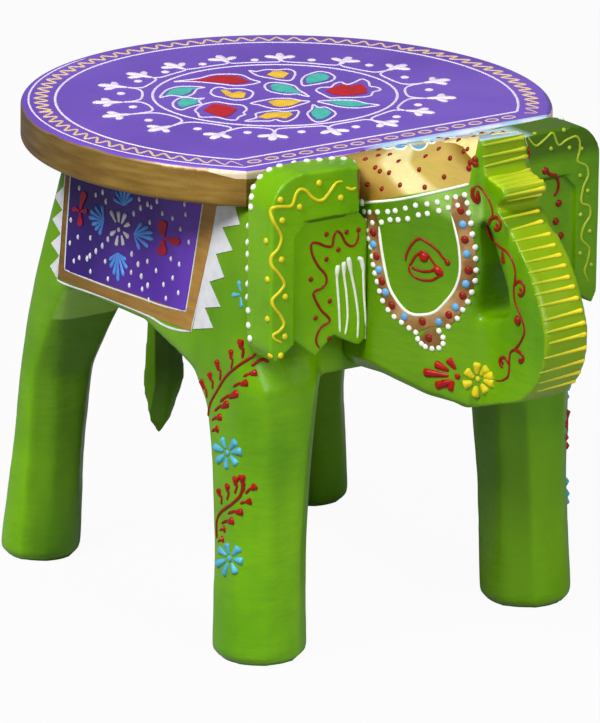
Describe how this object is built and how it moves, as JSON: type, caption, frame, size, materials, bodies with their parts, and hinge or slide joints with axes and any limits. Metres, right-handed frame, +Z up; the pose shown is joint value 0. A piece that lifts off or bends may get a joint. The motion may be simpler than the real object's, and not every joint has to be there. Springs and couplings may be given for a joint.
{
  "type": "carved elephant stool",
  "caption": "Low round-topped wooden stool carried by a carved, painted elephant with four legs, flat ears and a raised trunk.",
  "frame": {"origin": "middle of the stool's outline on the floor, on the plane that halves the elephant", "axes": "+Z up, the elephant faces -Y, +X is the elephant's left"},
  "size_m": [0.3, 0.4161, 0.307],
  "materials": {
    "seat_paint": "violet lacquer with hand-painted ornament and a brushed gold rim",
    "green_lacquer": "glossy green lacquer over carved wood, with hand-painted ornament",
    "beech": "bare turned wood"
  },
  "bodies": {
    "root": {"seat_board": "seat_paint", "right_flank": "green_lacquer", "left_flank": "green_lacquer", "belly_block": "green_lacquer", "right_cheek": "green_lacquer", "left_cheek": "green_lacquer", "right_ear": "green_lacquer", "left_ear": "green_lacquer", "tail": "green_lacquer", "trunk_slab": "green_lacquer", "seat_dowels": "beech", "flank_dowels": "beech", "head_dowels": "beech", "cheek_dowels": "beech", "ear_dowels": "beech", "tail_dowel": "beech"}
  },
  "joints": []
}
